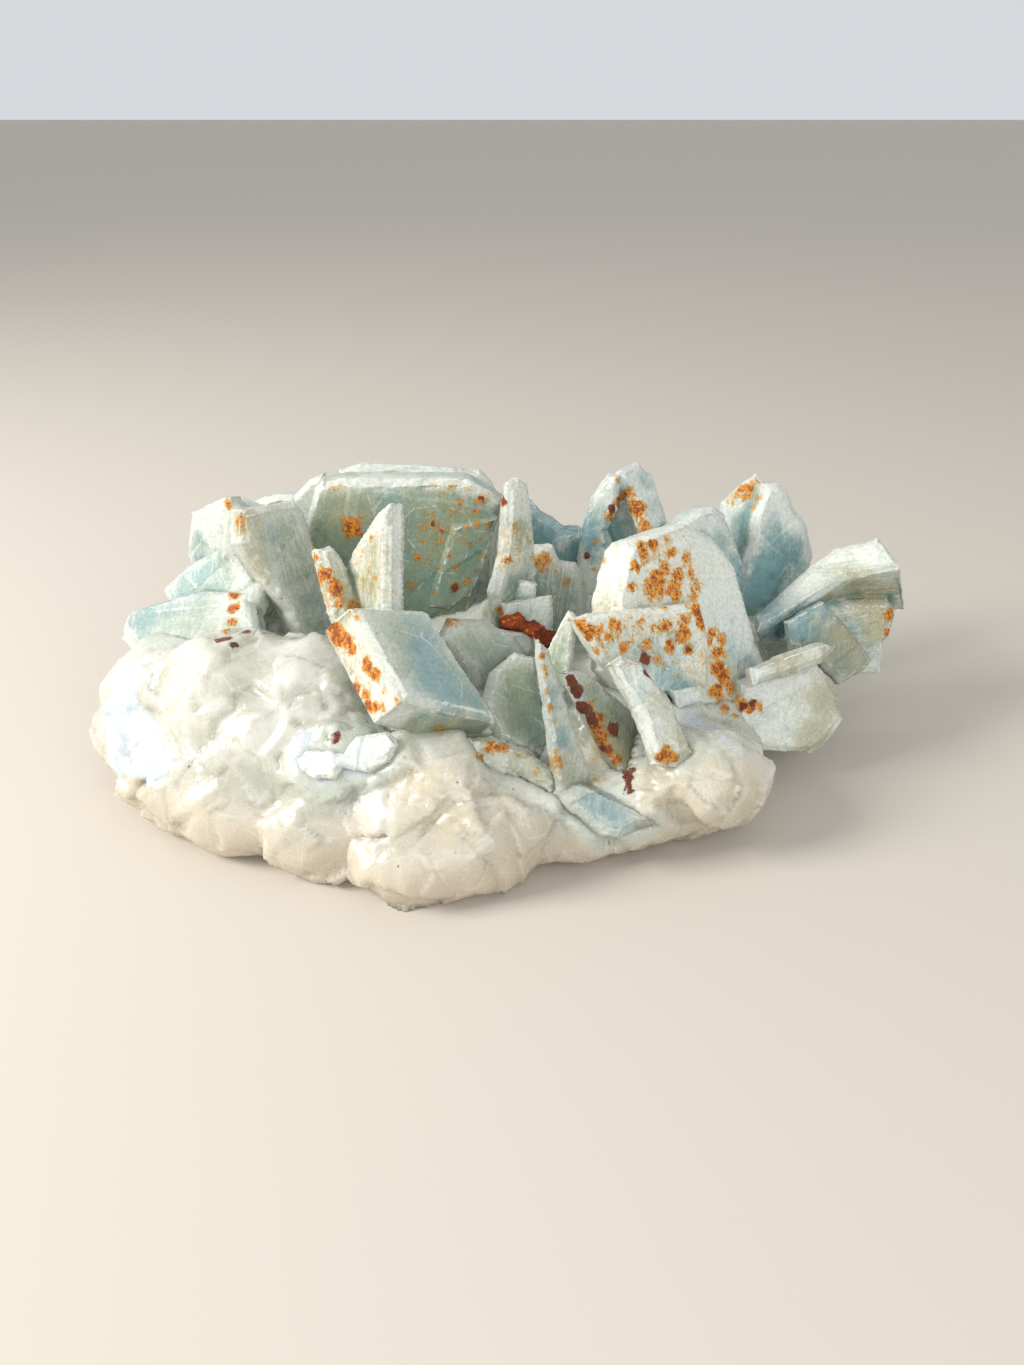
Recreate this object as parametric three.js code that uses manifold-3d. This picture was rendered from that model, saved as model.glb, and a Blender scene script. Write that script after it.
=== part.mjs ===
// A specimen of blue barite: tabular crystals, each a flat plate with bevelled edges, standing in all
// directions on a lumpy white mass. Millimetres, +Z up. The origin is at the bottom centre of its box.
import * as THREE from "three";
import { ConvexGeometry } from "three/addons/geometries/ConvexGeometry.js";
import { mergeVertices } from "three/addons/utils/BufferGeometryUtils.js";
import Module from "manifold-3d";

const wasm = await Module();
wasm.setup();

// Driving dimensions.
const GAP = 0.32; // what a crystal's root keeps from the mass and from its neighbours
const BEVEL = 0.9; // bevel of a plate over THIN thick
const FINE_BEVEL = 0.4; // bevel of a leaf
const THIN = 2.2;
const LUMP_POINTS = 30; // corners of each lump of the mass
const LUMP_ROUGHNESS = 0.14; // how far a corner may lie inside its ellipsoid
const BED_DEPTH = 40; // how far below the surface the trimming block reaches

// A plate crystal. at: a point on its front face, x, y, z. facing: which way that face looks, in degrees
// from -Y towards +X. lean: how far it looks up. outline: its corners on that face, [across, up].
const crystal = (at, facing, lean, thick, outline) => ({ at, facing, lean, thick, outline });

// Crystals that grow through each other are one solid. Where two solids come close, the later one gives way.
const CRYSTALS = {
  front_crystals: [
    crystal([-10.5, -20, 28], 66, 46, 7.5, [[-4, 11.5], [7, 5], [4.5, -3.5], [2.5, -12], [-8.5, -1.5]]),
    crystal([-9, -22, 16.5], 8, 40, 3, [[-8.5, 3.5], [-0.5, 2], [7, 0.5], [6, -1], [3, -2.5], [-7, -2.5]]),
    crystal([1.6, -15.2, 19.2], 30, 44, 2.5,
      [[-2.5, 5.5], [1.5, 7], [4.5, 5.5], [3.5, 0.5], [2, -7.5], [-1, -8.5], [-5.5, -4], [-6, 1]]),
    crystal([1.5, -24.9, 14.4], 10, 40, 3,
      [[-7.5, 5], [-3, 4.5], [1, 2.5], [4.5, 0], [4.5, -3], [3, -3.5], [-0.5, -1], [-5.5, 1]]),
    crystal([6, -12, 26.5], -35, 20, 1.5, [[0.5, 4.5], [2, 3.5], [3, -9], [-1.5, -9], [-2, -4], [-1, 0]]),
  ],
  right_crystals: [
    crystal([26, -4, 27.5], 38, 24, 6.5,
      [[-9, 11.5], [-7, 12], [2, 12], [4, 11], [7.5, 8], [10, 3.5], [11, -8], [13, -14], [12, -16.5],
        [4.5, -17], [-10, -14], [-16.5, -4], [-13.5, 5]]),
    crystal([19, -13, 25.5], 30, 20, 4,
      [[-11, 7], [-7.5, 7], [9.5, 4.5], [10, -1], [9, -7.5], [-1, -6.5], [-4, -5], [-8, 0.5]]),
    crystal([24.5, -14, 19], 30, 20, 2, [[-2.5, 1.5], [2.5, 1], [2, -1.5], [-2, -1.5]]),
    crystal([35.5, -7.9, 12], 24, 24, 5, [[-2.5, 3], [3, 3], [3.5, -1.5], [-1, -2.5], [-4, -1.5]]),
    crystal([43, -6, 11.5], 14, 26, 9,
      [[-10, 6], [3.5, 7], [4.5, 5.5], [6.5, 2], [7, -2], [3.5, -5.5], [1, -6.5], [-9, -4.5], [-11, -1.5]]),
  ],
  back_plate: [
    crystal([-18, 10, 32.5], 4, 5, 6,
      [[-10, 8.5], [-6.5, 9], [11.5, 8.5], [15, 6.5], [17, 5], [13, -6.5], [10, -20], [-10, -20], [-14, -5],
        [-13.5, 0], [-11, 7.5]]),
    crystal([-7.5, 9.7, 27], 6, 6, 1.5, [[-1.5, 7], [5.5, 8.5], [3, 0], [1, -4], [-2.5, -6], [-5.5, -5.5]]),
  ],
  back_rim_plate: [
    crystal([-13, 18.5, 35], 3, 8, 4,
      [[-14, 5], [-10.5, 6], [-1, 5.5], [8, 4.5], [10, 2.5], [11.5, -1], [9, -22], [-13, -22]]),
  ],
  striated_blade: [
    crystal([-20.5, -6, 33.5], -50, 14, 3.5,
      [[3, 11], [7, -5], [6, -16], [-3, -16], [-5, -4], [-5, -0.5], [-3.5, 3], [0.5, 9]]),
    crystal([-24, -6, 33.5], 58, 34, 3, [[0, 4.5], [2.5, 4], [3, 2], [2, -12], [-4, -12], [-3, -4]]),
  ],
  left_crystals: [
    crystal([-31.5, 2, 30], 45, 15, 4.5,
      [[-5.5, 11], [3.5, 10], [4.5, 8], [5, -0.5], [6, -14], [0, -16], [-2.5, -9], [-2.5, -5], [-7, 6.5]]),
    crystal([-41.5, 8, 35.5], -10, 20, 5, [[-2, 3.5], [-0.5, 4], [2, 2], [4, -6], [2, -16], [-3, -14], [-1.5, 1.5]]),
    crystal([-45, 4, 27], -35, 45, 4, [[-9.5, -2.5], [-7, 2.5], [-0.5, 8], [9, 3], [10, -4], [-3.5, -6.5]]),
    crystal([-48.5, -2, 24], -25, 58, 5,
      [[-8.5, -4], [-10, -0.5], [-9.5, 1], [0, 7], [8.5, 8], [14, 1.5], [7.5, -5.5], [-3, -6.5]]),
    crystal([-44, 12, 30.5], -25, 16, 6,
      [[-7.5, 4], [-5.5, 5], [-1.5, 7], [5, 6], [9, -0.5], [7.5, -17], [-1, -17], [-8, -3.5]]),
  ],
  back_left_crystals: [
    crystal([-36, 24, 31.5], -4, 6, 4,
      [[-7.5, 0.5], [-4.5, 2], [-2, 2.5], [0.5, 2.5], [3, 5], [5.5, 6], [6.5, 2], [5, -19], [-8, -19]]),
    crystal([-34, 27, 15], -25, 48, 3.5, [[-8, 2], [-3, 8], [5, 7], [8, 1], [7, -10], [-7, -10]]),
    crystal([-24, 27, 16], 12, 34, 3, [[-7, 3], [-2, 7], [4, 6], [7, 0], [6, -10], [-6, -10]]),
  ],
  centre_crystals: [
    crystal([0.5, 4, 34], 38, 8, 3,
      [[0, 8.5], [2.5, 9], [4, 8], [4.5, 2.5], [4, -6], [3, -18], [-4, -18], [-4.5, -6.5], [-2, -1.5],
        [-1, 2.5]]),
    crystal([-0.5, 5, 36], 30, 8, 2, [[-0.5, 4], [1, 5], [1.5, -0.5], [-0.5, -8], [-1.5, -4]]),
    crystal([7, 8, 27.5], 8, 22, 3,
      [[-4.5, 4.5], [-0.5, 4.5], [0, 3], [0.5, 2], [3, 1.5], [4.5, -1.5], [4, -12], [-4, -12], [-5, -1]]),
    crystal([1.5, 2, 27], -8, 24, 1.5, [[-0.5, 2], [2, 1.5], [1.5, -8], [-2, -8], [-1.5, -1]]),
    crystal([2.5, 0, 25.5], 4, 34, 2, [[-4, 1], [4, 2], [3.5, 0], [3, -8], [-4, -8], [-4.5, -2]]),
  ],
  blue_crystals: [
    crystal([7, 22, 27], -4, 10, 5,
      [[-6, 7], [-4, 6.5], [-2.5, 4.5], [-0.5, 3.5], [1.5, 2], [4, 2], [6, 0], [6, -14], [-5.5, -14]]),
    crystal([14, 18, 31], -15, 6, 4,
      [[0, 8], [2.5, 8], [2.5, 3], [1, -0.5], [2, -3], [2, -18], [-5, -18], [-3, 0], [-2, 4.5]]),
    crystal([22, 20, 35], 42, 36, 3,
      [[-4, 6], [1.5, 6.5], [2.5, 4.5], [3.5, 3.5], [3, 0.5], [1, -10.5], [1, -22], [-4, -22], [-3.5, 0.5]]),
    crystal([30.5, 14, 29.5], 20, 16, 5,
      [[-9, 2], [-3, 5], [-0.5, 6], [1.5, 6], [3.5, 4.5], [6.5, -3.5], [5, -16], [-4.5, -14]]),
    crystal([17.5, 20.9, 29], 6, 12, 3, [[-2.5, 2], [-1.5, 5.5], [1, 5], [3.5, 0.5], [3.5, -14], [-3.5, -14]]),
  ],
  right_arm: [
    crystal([47, 7, 27.5], -35, 50, 15, [[-8, -9], [-1, 5], [1, 6.5], [5, 9], [10, 4.5], [4, 1], [-6, -11.5]]),
    crystal([53, 5, 18], 12, 18, 3.5,
      [[-9.5, 6.5], [5.5, 5.5], [7, 3.5], [6, -0.5], [5, -1], [4.5, -6], [0, -6], [-6.5, -3], [-11.5, 0.5]]),
  ],
  arm_plate: [
    crystal([48, 0, 19], 20, 22, 3,
      [[-0.5, 7], [2.5, 3.5], [7.5, -3], [5.5, -4.5], [1, -6], [-1.5, -3], [-6.5, 0.5], [-7, 5]]),
  ],
  right_round_plate: [
    crystal([43, 20, 28], 16, 12, 6,
      [[-2, 9], [0, 9], [2, 8], [3.5, 4.5], [5.5, 2], [7, -3.5], [4.5, -10.5], [2, -17], [-6, -18],
        [-7.5, -9], [-5, -0.5], [-4, 4.5]]),
    crystal([38, 23, 32], -10, 18, 5,
      [[-4.5, 0.5], [-2.5, 3], [-1, 4.5], [1, 6], [3, 4.5], [3.5, -0.5], [3.5, -20], [-2.5, -20]]),
  ],
  fan_plate: [
    crystal([-1.5, -8, 22.5], 24, 34, 3,
      [[-8.5, 3.5], [-6, 6.5], [-1.5, 5.5], [1, 3.5], [4, 2.5], [6.5, 0], [7.5, -7], [2, -10], [-4.5, -4.5]]),
  ],
  rod_blade: [
    crystal([18.4, -21.6, 21.6], 34, 40, 3,
      [[-3.5, 7.5], [-1, 8], [1.5, 6.5], [3.5, 0.5], [4, -7.5], [0.5, -8], [-2.5, -6.5], [-2, -0.5]]),
  ],
  rust_backed_plate: [
    crystal([13.5, -20, 18], 50, 30, 2,
      [[-4.5, 10], [-0.5, 8], [4, 1], [5.5, -5], [1.5, -12], [-2, -5.5], [-3.5, 2.5]]),
  ],
  thin_blades: [
    crystal([6, -24, 22], 35, 16, 2,
      [[-1, 10.5], [0.5, 9], [1.5, 3], [2.5, -2.5], [3.5, -9], [2, -12], [-1.5, -10], [-1.5, 2.5], [-1.5, 8]]),
    crystal([11.5, -28, 10.5], 10, 48, 3.5,
      [[-6, 3], [-5, 4.5], [-2, 4], [3, 1], [7.5, -2.5], [4.5, -3], [2, -4], [0, -3.5], [-4, 0.5]]),
  ],
  front_leaves: [
    crystal([-18, -27, 19], -8, 44, 2,
      [[-4, -2.5], [-3, 0], [-2, 1.5], [0, 2], [2, 2.5], [3.5, 1], [2.5, -1.5], [0, -3]]),
    crystal([-24.5, -27.9, 17.4], -8, 50, 2,
      [[-3, 0.5], [-2, 2], [1, 2], [3.5, 1.5], [2.5, -1.5], [0, -2], [-2, -1]]),
  ],
  cream_blade: [
    crystal([42.5, -6, 21], 16, 42, 3.5, [[-9, 0], [2.5, 2], [5.5, 1], [2, -1.2], [-9, -3]]),
  ],
  back_fan_a: [
    crystal([-8, 28, 15], 8, 42, 4.5, [[-9, 2], [-6, 7], [5, 8], [9, 3], [7, -10], [-7, -10]]),
  ],
  back_fan_b: [
    crystal([14, 30, 14], -12, 52, 4, [[-8, 2], [-4, 8], [4, 8.5], [8, 3], [7, -10], [-7, -10]]),
    crystal([7, 29, 13], 30, 35, 3, [[-6, 4], [0, 8], [5, 5], [6, -8], [-6, -8]]),
  ],
  back_fan_c: [
    crystal([32, 28, 14], 20, 50, 4.5, [[-8, 3], [-2, 8], [5, 7], [9, 1], [7, -10], [-7, -10]]),
  ],
};

// The brown crust of iron oxide in the hollow between the crystals: [centre, half sizes].
const CRUST = [
  [[0.2, -2.6, 24], [2.2, 1.8, 1.7]],
  [[2.6, -2.4, 22.8], [2.6, 2, 1.7]],
  [[4.6, -2.2, 21.8], [2, 1.8, 1.6]],
];

// The white mass: a lump is an uneven ellipsoid, [centre, half sizes].
const LUMPS = [
  [[-33, -6, 8], [27, 21, 15]],
  [[-12, -16, 7], [20, 18, 13]],
  [[12, -6, 8], [24, 20, 12]],
  [[0, 14, 8], [46, 18, 14]],
  [[23, -6, 9], [14, 16, 7.5]],
  [[-8, 2, 7], [22, 16, 12]],
  [[-38, 12, 10], [17, 15, 13]],
  [[24, 16, 9], [22, 16, 12]],
  [[-53, -6, 8], [8.5, 8, 9]],
  [[-46, -14, 7], [10, 7, 8]],
  [[-47, -5, 14], [13, 11, 10.5]],
  [[-38, -10, 15], [14, 12, 11.5]],
  [[-36, -21, 6], [10, 8, 8]],
  [[-33, -15, 13], [12, 11, 10]],
  [[-27.5, -12, 16], [11, 11, 10.5]],
  [[-25, -24, 5], [10, 8, 7.5]],
  [[-22.5, -20, 12], [10.5, 10, 8.5]],
  [[-13, -30, 4], [8, 8, 6.5]],
  [[-6, -28, 5], [9, 8, 7.5]],
  [[-12, -22, 11], [11, 10, 8]],
  [[-1, -23.5, 6.5], [9, 9, 7]],
  [[7, -20, 5.5], [10, 10, 6]],
  [[16, -19, 7], [11, 10, 7]],
  [[25, -18, 9], [10, 10, 8]],
  [[27.5, -15, 8.5], [8.5, 9, 6.5]],
  [[1, -13, 11.5], [9, 9, 6.5]],
  [[-30, 22, 7], [14, 11, 9]],
  [[-6, 24, 7], [14, 9, 9]],
  [[17, 24, 7], [14, 9, 9]],
  [[34, 18, 8], [12, 11, 8]],
];

// A repeatable stream of numbers from 0 to 1.
function dice(seed) {
  let state = seed;
  return () => {
    state = (state * 1664525 + 1013904223) % 4294967296;
    return state / 4294967296;
  };
}

// A three.js geometry as a solid, with its doubled vertices merged.
function solid(geometry) {
  const bare = geometry.index ? geometry.toNonIndexed() : geometry.clone();
  bare.deleteAttribute("normal");
  bare.deleteAttribute("uv");
  const merged = mergeVertices(bare, 1e-4);
  return new wasm.Manifold(
    new wasm.Mesh({
      numProp: 3,
      vertProperties: merged.getAttribute("position").array,
      triVerts: new Uint32Array(merged.index.array),
    }),
  );
}

// A solid as a three.js geometry about a point.
function geometryOf(body, about) {
  const { vertProperties, triVerts, numProp } = body.getMesh();
  const places = new Float32Array((vertProperties.length / numProp) * 3);
  for (let i = 0, k = 0; i < vertProperties.length; i += numProp, k += 3) {
    places.set(vertProperties.subarray(i, i + 3), k);
  }
  const geometry = new THREE.BufferGeometry();
  geometry.setAttribute("position", new THREE.BufferAttribute(places, 3));
  geometry.setIndex(new THREE.BufferAttribute(new Uint32Array(triVerts), 1));
  geometry.translate(-about[0], -about[1], -about[2]);
  geometry.computeVertexNormals();
  return geometry;
}

// A plate crystal's solid, grown on every side by grow.
function plate({ at, facing, lean, thick, outline }, grow = 0) {
  const bevel = thick > THIN ? BEVEL : FINE_BEVEL;
  const shape = new THREE.Shape(outline.map(([across, up]) => new THREE.Vector2(across, up)));
  const depth = thick - 2 * bevel;
  const geometry = new THREE.ExtrudeGeometry(shape, {
    depth,
    bevelEnabled: true,
    bevelThickness: bevel + grow,
    bevelSize: bevel,
    bevelOffset: grow - bevel,
    bevelSegments: 1,
  });
  geometry.translate(0, 0, -(depth + bevel));
  const a = THREE.MathUtils.degToRad(facing);
  const l = THREE.MathUtils.degToRad(lean);
  const out = new THREE.Vector3(Math.sin(a) * Math.cos(l), -Math.cos(a) * Math.cos(l), Math.sin(l));
  const across = new THREE.Vector3(Math.cos(a), Math.sin(a), 0);
  const up = new THREE.Vector3().crossVectors(out, across);
  geometry.applyMatrix4(new THREE.Matrix4().makeBasis(across, up, out).setPosition(...at));
  return solid(geometry);
}

// One lump: the hull of points spread evenly over an ellipsoid, each drawn in a little.
function lump([centre, half], index) {
  const roll = dice(977 + 131 * index);
  const turn = roll() * Math.PI * 2;
  const points = [];
  for (let i = 0; i < LUMP_POINTS; i++) {
    const height = 1 - (2 * (i + 0.5)) / LUMP_POINTS;
    const angle = turn + i * Math.PI * (3 - Math.sqrt(5));
    const ring = Math.sqrt(1 - height * height);
    const reach = 1.05 - LUMP_ROUGHNESS * roll();
    points.push(
      new THREE.Vector3(
        centre[0] + half[0] * reach * ring * Math.cos(angle),
        centre[1] + half[1] * reach * ring * Math.sin(angle),
        centre[2] + half[2] * reach * height,
      ),
    );
  }
  return solid(new ConvexGeometry(points));
}

const union = (solids) => solids.reduce((whole, next) => whole.add(next));
const largest = (body) => body.decompose().reduce((a, b) => (a.volume() > b.volume() ? a : b));

// The white mass, cut flat where it stands.
function mass() {
  const bed = new THREE.BoxGeometry(400, 400, BED_DEPTH).translate(0, 0, -BED_DEPTH / 2);
  return union(LUMPS.map(lump)).subtract(solid(bed));
}

const specimen = new THREE.Group();

function add(name, body, colour, roughness, about) {
  const material = new THREE.MeshStandardMaterial({ color: colour, roughness, metalness: 0, flatShading: true });
  const mesh = new THREE.Mesh(geometryOf(body, about), material);
  mesh.name = name;
  mesh.position.set(...about);
  specimen.add(mesh);
}

const taken = [];
for (const [name, crystals] of Object.entries(CRYSTALS)) {
  const whole = union(crystals.map((c) => plate(c)));
  add(name, largest(taken.reduce((rest, cutter) => rest.subtract(cutter), whole)), 0xb9d3d6, 0.4, crystals[0].at);
  taken.push(union(crystals.map((c) => plate(c, GAP))));
}
const crust = union(CRUST.map((part, i) => lump(part, 60 + i)));
add("rust_crust", largest(taken.reduce((rest, cutter) => rest.subtract(cutter), crust)), 0x6a2f14, 0.9, CRUST[1][0]);
add("white_mass", largest(taken.reduce((rest, cutter) => rest.subtract(cutter), mass())), 0xe9e4da, 0.5, [0, 0, 0]);

// The origin goes to the bottom centre of the box.
const box = new THREE.Box3().setFromObject(specimen, true);
const middle = box.getCenter(new THREE.Vector3());
specimen.position.set(-middle.x, -middle.y, -box.min.z);

export default specimen;
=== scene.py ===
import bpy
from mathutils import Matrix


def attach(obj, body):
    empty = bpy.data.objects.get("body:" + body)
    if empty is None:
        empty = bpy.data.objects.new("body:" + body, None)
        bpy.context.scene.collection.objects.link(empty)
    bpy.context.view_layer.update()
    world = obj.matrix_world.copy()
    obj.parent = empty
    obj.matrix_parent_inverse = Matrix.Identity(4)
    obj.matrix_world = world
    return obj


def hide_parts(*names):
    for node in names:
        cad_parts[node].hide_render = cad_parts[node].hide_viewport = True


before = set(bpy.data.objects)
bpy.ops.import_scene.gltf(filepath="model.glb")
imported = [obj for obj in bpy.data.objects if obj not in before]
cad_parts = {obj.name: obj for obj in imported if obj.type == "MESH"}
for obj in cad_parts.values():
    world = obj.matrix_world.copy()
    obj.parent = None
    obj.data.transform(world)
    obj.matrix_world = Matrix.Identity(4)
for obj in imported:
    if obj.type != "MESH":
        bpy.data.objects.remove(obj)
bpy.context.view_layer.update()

import bmesh
import bpy
import numpy as np
from mathutils import Vector

MM = 0.001

# The camera, in the row frame: millimetres, degrees below the horizon, and the lens on a 36 mm frame.
IMAGE = (1024, 1365)
CAMERA_PLACE = (-0.31, -135.85, 91.0)
CAMERA_DOWN = 30
FOCAL_PIXELS = 1026
SENSOR = 36

# How fine the skins are, in millimetres.
CRYSTAL_GRAIN = 0.25
THIN_GRAIN = 0.2
MASS_GRAIN = 0.51
CRUST_GRAIN = 0.14

# The ribs of the crystals, in millimetres, and how the ledges on a face are turned from them, in degrees:
# barite's side faces meet at twice 51 degrees.
RIB_WIDTH = 0.9
RIB_LENGTH = 11
LEDGE_TURNS = (0, 0, 51, -51, 90, 51, -51)

# The mass: how far its lumps run together, and its broken faces from wide grains to fine ones, each with its
# size in mm, its seed, how steeply the faces tilt and how far they are set in or out in mm.
EASED_REACH = 1.77
WIDE_GRAINS = (11, 21, 0.11, 0.5)
MIDDLE_FACES = (5, 31, 0.15, 0.05)
FINE_FACES = (2.2, 41, 0.16, 0.03)

# How far the mass grows over the gap to the crystals, how much more beside the leaves, and how far it swells
# where it lies free, in millimetres.
GROWN_OVER = 0.58
OVER_LEAVES = 0.35
SWELL = 0.2

# Each crystal node: depth of its ribs in mm, how far they turn from the steepest line of a face in degrees,
# and how blue, how milky and how see-through it is, each from 0 to 1.
CRYSTALS = {
    "front_crystals": (0.03, 0, 0.35, 0.35, 0.25),
    # right_crystals is milkier as painted light on its lit faces, and back_plate less milky as painted shade.
    "right_crystals": (0.03, 10, 0.40, 0.88, 0.15),
    "back_plate": (0.03, 4, 0.38, 0.15, 0.25),
    "back_rim_plate": (0.04, 0, 0.40, 0.75, 0.30),
    "striated_blade": (0.14, -4, 0.15, 0.60, 0.20),
    "left_crystals": (0.04, -14, 0.35, 0.60, 0.30),
    "back_left_crystals": (0.04, 0, 0.40, 0.75, 0.30),
    "centre_crystals": (0.08, 5, 0.35, 0.55, 0.30),
    "blue_crystals": (0.05, 8, 0.75, 0.50, 0.30),
    "right_arm": (0.09, 78, 0.55, 0.60, 0.20),
    "arm_plate": (0.03, 0, 0.30, 0.30, 0.45),
    "right_round_plate": (0.03, -6, 0.70, 0.60, 0.25),
    "fan_plate": (0.04, -30, 0.40, 0.40, 0.50),
    "rod_blade": (0.04, 0, 0.30, 0.80, 0.25),
    "rust_backed_plate": (0.04, 20, 0.30, 0.40, 0.45),
    "thin_blades": (0.05, 5, 0.30, 0.60, 0.45),
    "front_leaves": (0.02, 0, 0.80, 1.00, 0.25),
    "cream_blade": (0.05, 70, 0.10, 0.60, 0.25),
    "back_fan_a": (0.05, 0, 0.55, 0.45, 0.30),
    "back_fan_b": (0.05, 12, 0.60, 0.40, 0.30),
    "back_fan_c": (0.05, -12, 0.50, 0.45, 0.30),
}
THIN_NODES = ("rod_blade", "rust_backed_plate", "thin_blades", "front_leaves", "cream_blade")
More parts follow.
